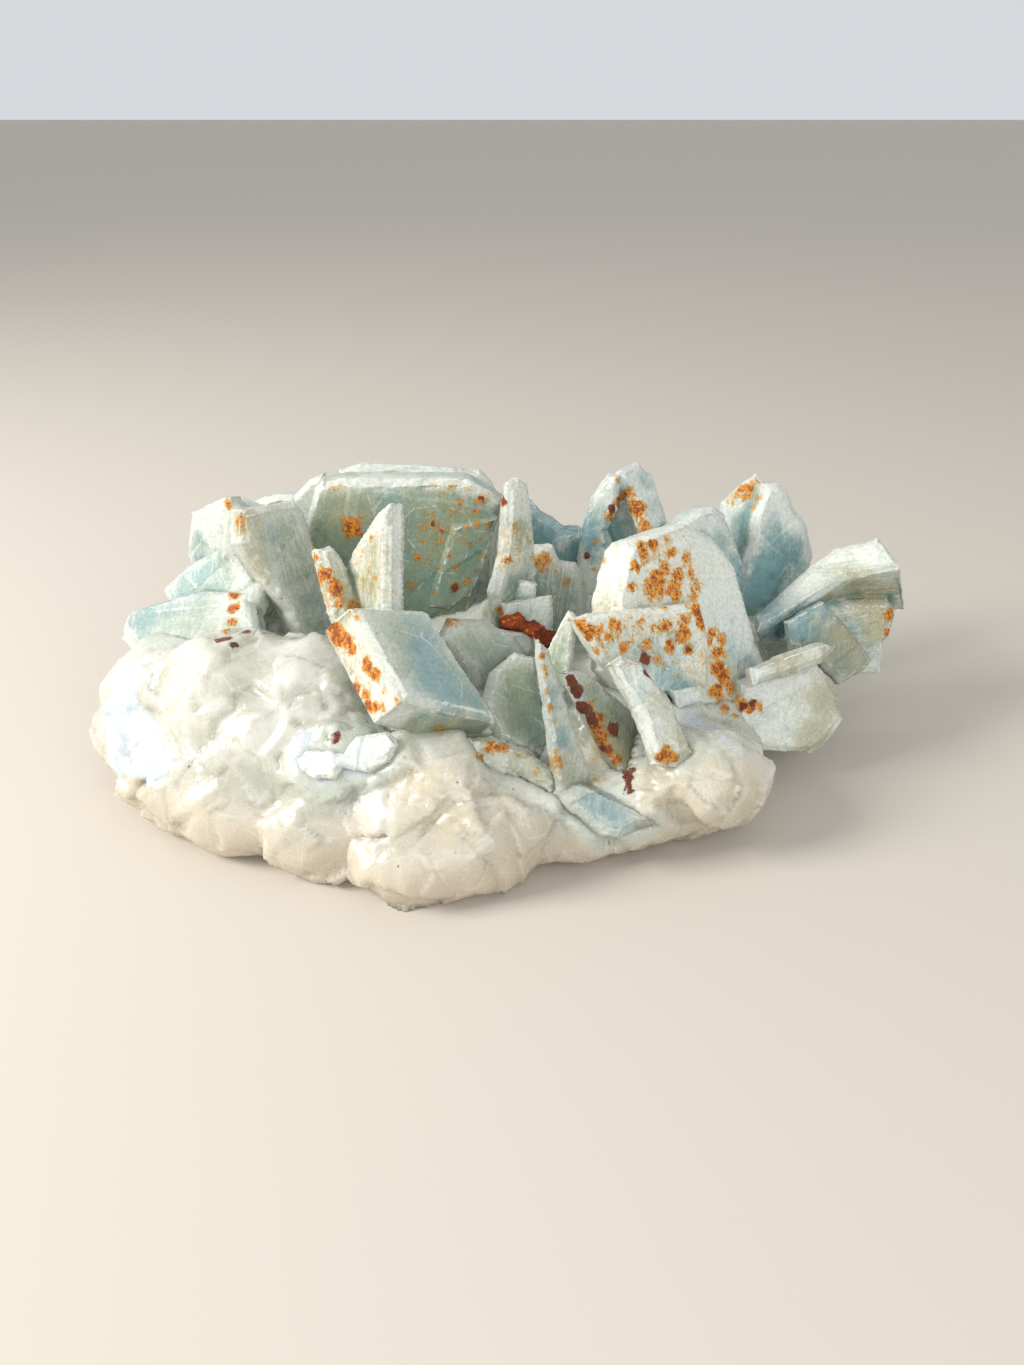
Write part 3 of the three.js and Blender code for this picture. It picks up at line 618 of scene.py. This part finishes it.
def openness(skins):
    """How much sky each vertex sees: a map of the highest point of each half-millimetre square gives, along
    twelve headings, the steepest rise; the open share is one less the mean sine of those rises."""
    square = 0.5
    everything = np.concatenate([skin.places for skin in skins])
    low = everything[:, :2].min(0) - 1
    shape = tuple(np.ceil((everything[:, :2].max(0) + 1 - low) / square).astype(int) + 1)
    tops = np.zeros(shape)
    index = np.floor((everything[:, :2] - low) / square).astype(int)
    np.maximum.at(tops, tuple(index.T), everything[:, 2])
    total = np.zeros(len(everything))
    for heading in np.arange(12) * np.pi / 6:
        way = np.array([np.cos(heading), np.sin(heading)])
        rise = np.zeros(len(everything))
        for distance in (1.5, 3, 5, 8, 12, 18):
            spot = everything[:, :2] + way * distance
            index = np.clip(np.floor((spot - low) / square).astype(int), 0, np.array(shape) - 1)
            rise = np.maximum(rise, (tops[tuple(index.T)] - everything[:, 2]) / distance)
        total += rise / np.sqrt(1 + rise * rise)
    return split_again(1 - total / 12, skins)


def to_pixels(places):
    """Where the camera sees each place: pixel across, pixel down, and the depth in millimetres."""
    down = np.radians(CAMERA_DOWN)
    offset = places - np.array(CAMERA_PLACE)
    depth = offset[:, 1] * np.cos(down) - offset[:, 2] * np.sin(down)
    rise = offset[:, 1] * np.sin(down) + offset[:, 2] * np.cos(down)
    return (
        IMAGE[0] / 2 + FOCAL_PIXELS * offset[:, 0] / depth,
        IMAGE[1] / 2 - FOCAL_PIXELS * rise / depth,
        depth,
    )


def stained(skins, table):
    """How strong a table's marks are on each vertex: every spot is set on the nearest surface seen at its
    pixel, and fades with distance from there, its outline drawn out of round by noise."""
    everything = np.concatenate([skin.places for skin in skins])
    across, down, depth = to_pixels(everything)
    amount = np.zeros(len(everything))
    ragged = 1 + 0.45 * noise(everything, 1.3, 31) + 0.3 * noise(everything, 0.6, 32)
    for spots in table.values():
        for px, py, radius, much in spots:
            seen = np.flatnonzero((abs(across - px) < 4) & (abs(down - py) < 4))
            if not len(seen):
                continue
            centre = everything[seen[depth[seen].argmin()]]
            distance = np.linalg.norm(everything - centre, axis=1)
            here = much * (1 - blend(0.35, 1.6, distance / (radius * ragged)))
            amount = np.maximum(amount, here)
    return split_again(amount, skins)


# Materials.


class Graph:
    """Short ways to make and link the nodes of one shader tree."""

    def __init__(self, tree):
        self.tree = tree

    def put(self, kind, inputs=(), **settings):
        """A node with its settings, its inputs given by name or number as values or as other sockets."""
        node = self.tree.nodes.new(kind)
        for name, value in settings.items():
            setattr(node, name, value)
        for name, value in dict(inputs).items():
            self.feed(node.inputs[name], value)
        return node

    def feed(self, socket, value):
        if isinstance(value, bpy.types.NodeSocket):
            self.tree.links.new(value, socket)
        else:
            socket.default_value = value

    def math(self, operation, *values):
        return self.put("ShaderNodeMath", dict(enumerate(values)), operation=operation).outputs[0]

    def plus(self, first, second):
        return self.math("ADD", first, second)

    def minus(self, first, second):
        return self.math("SUBTRACT", first, second)

    def times(self, first, second):
        return self.math("MULTIPLY", first, second)

    def rise(self, value, low, high, bottom=0.0, top=1.0):
        """A smooth step from bottom to top as the value goes from low to high."""
        inputs = {"Value": value, "From Min": low, "From Max": high, "To Min": bottom, "To Max": top}
        return self.put("ShaderNodeMapRange", inputs, interpolation_type="SMOOTHSTEP").outputs[0]

    def mix(self, share, first, second, kind="MIX"):
        node = self.put("ShaderNodeMix", data_type="RGBA", blend_type=kind)
        self.feed(node.inputs[0], share)
        self.feed(node.inputs[6], first)
        self.feed(node.inputs[7], second)
        return node.outputs[2]

    def noise(self, places, size, detail=2.0, roughness=0.5):
        """Noise with features about size millimetres across."""
        inputs = {"Vector": places, "Scale": 1 / size, "Detail": detail, "Roughness": roughness}
        return self.put("ShaderNodeTexNoise", inputs).outputs[0]

    def number(self, name):
        """A number that the skin keeps at each vertex."""
        return self.put("ShaderNodeAttribute", attribute_name=name).outputs["Fac"]

    def millimetres(self):
        """Object coordinates, in millimetres."""
        place = self.put("ShaderNodeTexCoord").outputs["Object"]
        inputs = {0: place, 3: 1 / MM}
        return self.put("ShaderNodeVectorMath", inputs, operation="SCALE").outputs[0]


def linear(red, green, blue):
    """A colour given by its 0 to 255 screen values, as the shader's own values."""
    parts = [part / 255 for part in (red, green, blue)]
    return (*[c / 12.92 if c <= 0.04045 else ((c + 0.055) / 1.055) ** 2.4 for c in parts], 1.0)


PALE_GREEN = linear(202, 209, 186)
PALE_BLUE = linear(174, 198, 196)
BRIGHT_BLUE = linear(172, 209, 214)
# The next two darker colours paint shade in the hollows between crystals, and also give the crystals' darker
# tone.
SHADE_AND_DEEP_GREEN = linear(134, 150, 118)
SHADE_AND_DEEP_BLUE = linear(114, 158, 160)
MILK = linear(240, 241, 232)
BEIGE = linear(194, 187, 152)
RUST_ORANGE = linear(234, 148, 14)
RUST_YELLOW = linear(244, 204, 110)
RUST_BROWN = linear(140, 58, 4)
RUST_DARK = linear(96, 34, 4)
SPECK = linear(40, 34, 28)
MASS_WHITE = linear(242, 240, 229)
MASS_GREY = linear(216, 215, 198)
MASS_PINK = linear(232, 216, 192)
MASS_BLUE = linear(222, 232, 240)
MASS_GREEN = linear(222, 228, 214)
MASS_BEIGE = linear(228, 214, 184)
MASS_CLEAR = linear(202, 204, 186)
FLOOR_TONE = linear(194, 186, 174)

# Barite bends light by 1.64, and the mass, full of fine cracks, a little less.
BARITE_IOR = 1.64
MASS_IOR = 1.6


def new_group(name, inputs, outputs):
    """An empty shader node group with its named sockets, which are numbers but for places and colours."""
    tree = bpy.data.node_groups.new(name, "ShaderNodeTree")
    kinds = {"Place": "NodeSocketVector", "Color": "NodeSocketColor"}
    for way, labels in {"INPUT": inputs, "OUTPUT": outputs}.items():
        for label in labels:
            tree.interface.new_socket(label, in_out=way, socket_type=kinds.get(label, "NodeSocketFloat"))
    graph = Graph(tree)
    return graph, graph.put("NodeGroupInput").outputs, graph.put("NodeGroupOutput").inputs


def settled_rust():
    """Rust on any ground: sharp flecks where there is little, joined patches where there is much, a yellow
    halo round them and dark crusts where the second amount is high. Tiny black specks lie everywhere."""
    graph, given, out = new_group("settled rust", ["Color", "Place", "Rust", "Dark"], ["Color", "Mask"])
    drawn = graph.put("ShaderNodeVectorMath", {0: given["Place"], 1: (1.25, 1.25, 0.7)}, operation="MULTIPLY")
    broad = graph.noise(drawn.outputs[0], 1.3, 6.0, 0.85)
    fine = graph.noise(given["Place"], 0.3, 3.0, 0.7)
    tones = graph.noise(given["Place"], 0.5, 4.0, 0.75)
    around = graph.minus(graph.plus(graph.times(broad, 1.5), graph.times(fine, 0.9)), 1.22)
    level = graph.plus(graph.times(given["Rust"], 0.8), around)
    fleck = graph.rise(level, 0.5, 0.55)
    halo = graph.rise(level, 0.22, 0.6, 0.0, 0.9)
    crust = graph.rise(graph.plus(given["Dark"], graph.times(around, 1.2)), 0.5, 0.56)
    shade = graph.plus(tones, graph.times(graph.minus(level, 0.55), 0.5))
    tone = graph.mix(graph.rise(shade, 0.5, 0.66), RUST_ORANGE, RUST_BROWN)
    dark_tone = graph.mix(graph.rise(tones, 0.35, 0.6), RUST_BROWN, RUST_DARK)
    with_halo = graph.mix(halo, given["Color"], RUST_YELLOW, "MULTIPLY")
    with_fleck = graph.mix(fleck, with_halo, tone)
    with_crust = graph.mix(crust, with_fleck, dark_tone)
    cells = graph.put("ShaderNodeTexVoronoi", {"Vector": given["Place"], "Scale": 0.42}).outputs
    speck = graph.rise(graph.plus(cells["Distance"], graph.times(fine, 0.12)), 0.1, 0.13, 1.0, 0.0)
    some = graph.put("ShaderNodeSeparateXYZ", {0: cells["Color"]}).outputs[0]
    speck = graph.times(speck, graph.rise(some, 0.8, 0.82))
    graph.feed(out["Color"], graph.mix(graph.times(speck, 0.8), with_crust, SPECK))
    graph.feed(out["Mask"], graph.math("MAXIMUM", fleck, crust))
    return graph.tree


def growth_lines():
    """Fine lines along a face's ribs: noise drawn out many times as long as it is wide."""
    graph, given, out = new_group("growth lines", ["Stripe", "Length", "Width"], ["Lines"])
    stripe = graph.math("DIVIDE", given["Stripe"], given["Width"])
    length = graph.math("DIVIDE", given["Length"], graph.times(given["Width"], 12.0))
    vector = graph.put("ShaderNodeCombineXYZ", {0: stripe, 1: length}).outputs[0]
    graph.feed(out["Lines"], graph.noise(vector, 1.0, 4.0, 0.7))
    return graph.tree


def crystal_body():
    """The crystal's colour: pale green to pale blue by how blue it is, milky in clouds, along lines and
    towards its rims and on white spots, which on lit sides are painted light, darker with painted shade in
    the hollows between crystals and on bluer spots, beige and sugary on warm places, and crossed by pale
    healed cracks."""
    nature = ["Place", "Lines", "Blue", "Milk", "Ribbed"]
    marks = [name.capitalize() for name in BODY_MARKS]
    graph, given, out = new_group("crystal body", nature + marks, ["Color", "Frost"])
    clouds = graph.noise(given["Place"], 8.0, 5.0, 0.62)
    wisps = graph.noise(given["Place"], 2.2, 5.0, 0.68)
    swing = graph.times(graph.minus(clouds, 0.5), 1.6)
    blueness = graph.plus(given["Blue"], graph.plus(swing, given["Bluer"]))
    blue_share = graph.rise(blueness, 0.15, 0.95)
    clear = graph.mix(blue_share, PALE_GREEN, PALE_BLUE)
    deep_and_shaded = graph.mix(blue_share, SHADE_AND_DEEP_GREEN, SHADE_AND_DEEP_BLUE)
    # Painted shade: the colour goes towards the darker colours where the crystal lies little open to the sky
    # and on bluer spots; warm spots and swirls darken it too.
    shade_in_hollows = graph.rise(given["Open"], 0.35, 0.85, 0.7, 0.05)
    spot_shade_and_tone = graph.plus(graph.times(given["Bluer"], 0.35), graph.times(given["Warm"], 0.2))
    swirl = graph.minus(wisps, 0.5)
    depth = graph.plus(graph.plus(shade_in_hollows, spot_shade_and_tone), graph.times(swirl, 0.9))
    body = graph.mix(graph.rise(depth, 0.0, 1.0), clear, deep_and_shaded)
    lines = graph.times(graph.minus(given["Lines"], 0.5), given["Ribbed"])
    cloud = graph.plus(graph.plus(graph.times(wisps, 0.9), lines), 0.13)
    cloud = graph.plus(cloud, graph.times(graph.minus(given["Milk"], 0.5), 0.8))
    # White spots, on lit sides painted light, make the crystal milkier; bluer spots, in hollows painted
    # shade, make it less milky.
    for name, share in {"Frame": 0.45, "White": 0.55, "Bluer": -0.3}.items():
        cloud = graph.plus(cloud, graph.times(given[name], share))
    milky = graph.mix(graph.rise(cloud, 0.42, 0.95, 0.0, 0.9), body, MILK)
    warm = graph.plus(given["Warm"], swirl)
    warmed = graph.mix(graph.rise(warm, 0.1, 0.95, 0.0, 0.8), milky, BEIGE)
    warmed = graph.mix(graph.rise(given["Warm"], 0.75, 1.15, 0.0, 0.45), warmed, SHADE_AND_DEEP_GREEN)
    warmed = graph.mix(graph.rise(given["Bluer"], 0.45, 1.1, 0.0, 0.6), warmed, BRIGHT_BLUE)
    cells = {"Vector": given["Place"], "Scale": 0.14}
    cracks = graph.put("ShaderNodeTexVoronoi", cells, feature="DISTANCE_TO_EDGE").outputs["Distance"]
    crack = graph.rise(graph.plus(cracks, graph.times(wisps, 0.1)), 0.045, 0.06, 0.45, 0.0)
    etched = graph.noise(given["Place"], 0.45, 3.0, 0.65)
    cracked = graph.mix(crack, warmed, MILK)
    mottled = graph.mix(graph.rise(etched, 0.35, 0.65, 0.26, 0.0), cracked, deep_and_shaded, "MULTIPLY")
    sugar = graph.put("ShaderNodeTexVoronoi", {"Vector": given["Place"], "Scale": 1.6}).outputs["Distance"]
    sugar = graph.times(graph.rise(sugar, 0.08, 0.2, 0.5, 0.0), graph.rise(warm, 0.5, 0.9))
    mottled = graph.mix(sugar, mottled, MILK)
    frost = graph.rise(graph.plus(given["Rim"], graph.times(wisps, 0.45)), 0.6, 0.9)
    graph.feed(out["Color"], graph.mix(graph.times(frost, 0.85), mottled, MILK))
    graph.feed(out["Frost"], frost)
    return graph.tree


def fine_grain():
    """The grain of the surface as a height: sugary bumps, tiny flat faces and the odd pit."""
    graph, given, out = new_group("fine grain", ["Place", "Size"], ["Height"])
    scaled = graph.put("ShaderNodeVectorMath", {0: given["Place"]}, operation="SCALE")
    graph.feed(scaled.inputs[3], graph.math("DIVIDE", 1.0, given["Size"]))
    place = scaled.outputs[0]
    bumps = graph.noise(place, 1.0, 4.0, 0.6)
    faces = graph.put("ShaderNodeTexVoronoi", {"Vector": place, "Scale": 0.5}, distance="CHEBYCHEV").outputs
    pits = graph.rise(faces["Distance"], 0.05, 0.25)
    height = graph.plus(bumps, graph.times(pits, 0.3))
    graph.feed(out["Height"], graph.plus(height, graph.times(faces["Distance"], 0.5)))
    return graph.tree


def new_material(name):
    """A material holding only a Principled BSDF, with the graph to add to."""
    material = bpy.data.materials.new(name)
    material.use_nodes = True
    return material, Graph(material.node_tree), material.node_tree.nodes["Principled BSDF"]


def use(graph, group, **inputs):
    """Places a shader group, its inputs given by name."""
    node = graph.put("ShaderNodeGroup", node_tree=group)
    for name, value in inputs.items():
        graph.feed(node.inputs[name], value)
    return node.outputs


def bump(graph, height, strength, distance):
    """A Bump node on a height; distance is in millimetres."""
    inputs = {"Height": height, "Strength": strength, "Distance": distance * MM}
    return graph.put("ShaderNodeBump", inputs).outputs[0]


def crystal_material(node, groups):
    """Vitreous, clouded barite: light goes a little way in, rims are frosted, rust lies on top."""
    rib_depth, _, blue, milk, clear = CRYSTALS[node]
    material, graph, surface = new_material(node + " barite")
    place = graph.millimetres()
    along = {"Stripe": graph.number("stripe"), "Length": graph.number("length")}
    lines = use(graph, groups["lines"], Width=0.3, **along)
    kept = {name.capitalize(): graph.number(name) for name in BODY_MARKS}
    nature = {"Blue": blue, "Milk": milk, "Ribbed": 0.2 + 7 * rib_depth}
    body = use(graph, groups["body"], Place=place, Lines=lines["Lines"], **kept, **nature)
    stains = {"Rust": graph.number("rust"), "Dark": graph.number("dark")}
    rust = use(graph, groups["rust"], Color=body["Color"], Place=place, **stains)
    grain = use(graph, groups["grain"], Place=place, Size=0.5)
    ribs = graph.times(lines["Lines"], 0.5 + 16 * rib_depth)
    height = graph.plus(graph.times(grain["Height"], 0.3), ribs)
    height = graph.plus(height, graph.times(rust["Mask"], 0.6))
    gloss = graph.plus(0.22, graph.times(body["Frost"], 0.15))
    graph.feed(surface.inputs["Base Color"], rust["Color"])
    graph.feed(surface.inputs["Roughness"], graph.plus(gloss, graph.times(rust["Mask"], 0.4)))
    graph.feed(surface.inputs["Normal"], bump(graph, height, 0.5, 0.2))
    surface.inputs["IOR"].default_value = BARITE_IOR
    surface.inputs["Specular IOR Level"].default_value = 0.35
    surface.inputs["Transmission Weight"].default_value = clear
    surface.inputs["Subsurface Weight"].default_value = 0.15
    surface.inputs["Subsurface Radius"].default_value = (0.8, 1.0, 0.95)
    surface.inputs["Subsurface Scale"].default_value = 1.2 * MM
    return material


def mass_material(groups):
    """Milky and a little see-through: white, grey and clearer clouds with fine white fractures, pinkish low
    down, bluish and beige in places and greener beside the crystals."""
    material, graph, surface = new_material("massive white barite")
    place = graph.millimetres()
    parts = graph.put("ShaderNodeSeparateXYZ", {0: place}).outputs
    clouds = graph.noise(place, 8.0, 6.0, 0.65)
    wisps = graph.noise(place, 2.4, 5.0, 0.7)
    depths = graph.noise(place, 17.0, 3.0, 0.6)
    cloudy = graph.mix(graph.rise(clouds, 0.38, 0.62), MASS_WHITE, MASS_GREY)
    body = graph.mix(graph.rise(depths, 0.48, 0.66, 0.0, 0.85), cloudy, MASS_CLEAR)
    low = graph.plus(parts["Z"], graph.times(clouds, 14.0))
    warm = graph.mix(graph.rise(low, 10.0, 21.0, 0.9, 0.0), body, MASS_PINK)
    swirl = graph.minus(wisps, 0.5)
    beside = graph.plus(graph.number("near"), swirl)
    green = graph.mix(graph.rise(beside, 0.05, 0.6, 0.0, 0.8), warm, MASS_GREEN)
    patch = graph.plus(graph.number("bluer"), swirl)
    cool = graph.mix(graph.rise(patch, 0.3, 0.45, 0.0, 0.85), green, MASS_BLUE)
    cracks = graph.put("ShaderNodeTexVoronoi", {"Vector": place, "Scale": 0.2}, feature="DISTANCE_TO_EDGE")
    crack = graph.plus(cracks.outputs["Distance"], graph.times(wisps, 0.16))
    warm_spots = graph.plus(graph.number("warm"), swirl)
    warmer = graph.mix(graph.rise(warm_spots, 0.2, 0.9, 0.0, 0.7), cool, MASS_BEIGE)
    veined = graph.mix(graph.rise(crack, 0.07, 0.11, 0.6, 0.0), warmer, MASS_WHITE)
    stains = {"Rust": graph.number("rust"), "Dark": graph.number("dark")}
    rust = use(graph, groups["rust"], Color=veined, Place=place, **stains)
    grain = use(graph, groups["grain"], Place=place, Size=0.8)
    fine = graph.noise(place, 0.35, 3.0, 0.6)
    height = graph.plus(grain["Height"], graph.times(fine, 0.3))
    graph.feed(surface.inputs["Base Color"], rust["Color"])
    graph.feed(surface.inputs["Roughness"], graph.rise(wisps, 0.3, 0.7, 0.12, 0.38))
    graph.feed(surface.inputs["Normal"], bump(graph, height, 0.55, 0.18))
    surface.inputs["IOR"].default_value = MASS_IOR
    surface.inputs["Transmission Weight"].default_value = 0.35
    surface.inputs["Subsurface Weight"].default_value = 0.7
    surface.inputs["Subsurface Radius"].default_value = (1.0, 0.92, 0.8)
    surface.inputs["Subsurface Scale"].default_value = 2.8 * MM
    return material


def crust_material(groups):
    """Earthy red-brown oxide."""
    material, graph, surface = new_material("iron oxide crust")
    place = graph.millimetres()
    tone = graph.noise(place, 0.8, 4.0, 0.7)
    brown = graph.mix(graph.rise(tone, 0.35, 0.55), RUST_DARK, RUST_BROWN)
    graph.feed(surface.inputs["Base Color"], graph.mix(graph.rise(tone, 0.58, 0.66), brown, RUST_ORANGE))
    grain = use(graph, groups["grain"], Place=place, Size=0.3)
    graph.feed(surface.inputs["Normal"], bump(graph, grain["Height"], 0.8, 0.3))
    surface.inputs["Roughness"].default_value = 0.85
    return material


# Making the specimen.


def finish_piece(skin, material):
    """The skin takes the node's place."""
    piece = skin.object
    piece.data.materials.append(material)
    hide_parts(skin.node)
    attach(piece, "root")


def keep_marks(skins):
    """Keeps on every skin what its material reads: worn rims, the pale frame inside them, how open it lies,
    which darkens the crystals as painted shade, and the marks of each table of spots."""
    for skin, open_here in zip(skins, openness(skins)):
        skin.keep("rim", skin.rims(0.5))
        skin.keep("frame", skin.rims(1.8))
        skin.keep("open", skin.eased(open_here, 6))
    for name, (table, times) in SPOTS.items():
        for skin, amount in zip(skins, stained(skins, table)):
            skin.keep(name, skin.eased(amount, times))


def make_specimen():
    """Every node's skin, with its marks, its material and its place in the frame."""
    crystals = [crystal_skin(node, index) for index, node in enumerate(CRYSTALS)]
    leaves = [skin for skin in crystals if skin.node == "front_leaves"]
    mass = mass_skin(crystals, leaves)
    crust = crust_skin()
    keep_marks([*crystals, mass, crust])
    groups = {"rust": settled_rust(), "lines": growth_lines(), "body": crystal_body(), "grain": fine_grain()}
    for skin in crystals:
        finish_piece(skin, crystal_material(skin.node, groups))
    finish_piece(mass, mass_material(groups))
    finish_piece(crust, crust_material(groups))


# The studio.

SPECIMEN_MIDDLE = (0, 0, 15)
FLOOR_HALF = 4.0


def add_floor():
    """A plain pale floor, far wider than the picture."""
    corners = [(x * FLOOR_HALF, y * FLOOR_HALF, 0) for x, y in ((-1, -1), (1, -1), (1, 1), (-1, 1))]
    mesh = bpy.data.meshes.new("floor")
    mesh.from_pydata(corners, [], [(0, 1, 2, 3)])
    floor = bpy.data.objects.new("floor", mesh)
    bpy.context.collection.objects.link(floor)
    material, _, surface = new_material("pale floor")
    surface.inputs["Base Color"].default_value = FLOOR_TONE
    surface.inputs["Roughness"].default_value = 0.8
    mesh.materials.append(material)


def add_lamp(name, place, size, power, tone):
    """A square soft lamp that shines on the specimen's middle. Place and size in mm, power in watts."""
    light = bpy.data.lights.new(name, "AREA")
    light.size = size * MM
    light.energy = power
    light.color = tone
    lamp = bpy.data.objects.new(name, light)
    bpy.context.collection.objects.link(lamp)
    start, end = np.array(place) * MM, np.array(SPECIMEN_MIDDLE) * MM
    lamp.location = start
    lamp.rotation_euler = Vector(end - start).to_track_quat("-Z", "Y").to_euler()


def add_studio():
    """A broad soft window light from the left and behind, a weak fill from the front and a pale room."""
    add_lamp("window", (-400, -110, 270), size=180, power=2.9, tone=(1.0, 0.985, 0.95))
    add_lamp("fill", (200, -420, 260), size=400, power=1.1, tone=(0.97, 0.99, 1.0))
    world = bpy.data.worlds.new("pale room")
    world.use_nodes = True
    sky = world.node_tree.nodes["Background"].inputs
    sky["Color"].default_value = (0.93, 0.96, 1.0, 1)
    sky["Strength"].default_value = 0.72
    bpy.context.scene.world = world
    bpy.context.scene.view_settings.view_transform = "Standard"


def add_camera():
    """The photograph's viewpoint."""
    lens = bpy.data.cameras.new("camera")
    lens.sensor_width = SENSOR
    lens.lens = FOCAL_PIXELS / max(IMAGE) * SENSOR
    lens.clip_start = 0.005
    camera = bpy.data.objects.new("camera", lens)
    bpy.context.collection.objects.link(camera)
    camera.location = np.array(CAMERA_PLACE) * MM
    camera.rotation_euler = (np.radians(90 - CAMERA_DOWN), 0, 0)
    bpy.context.scene.camera = camera


add_camera()
add_studio()
add_floor()
make_specimen()
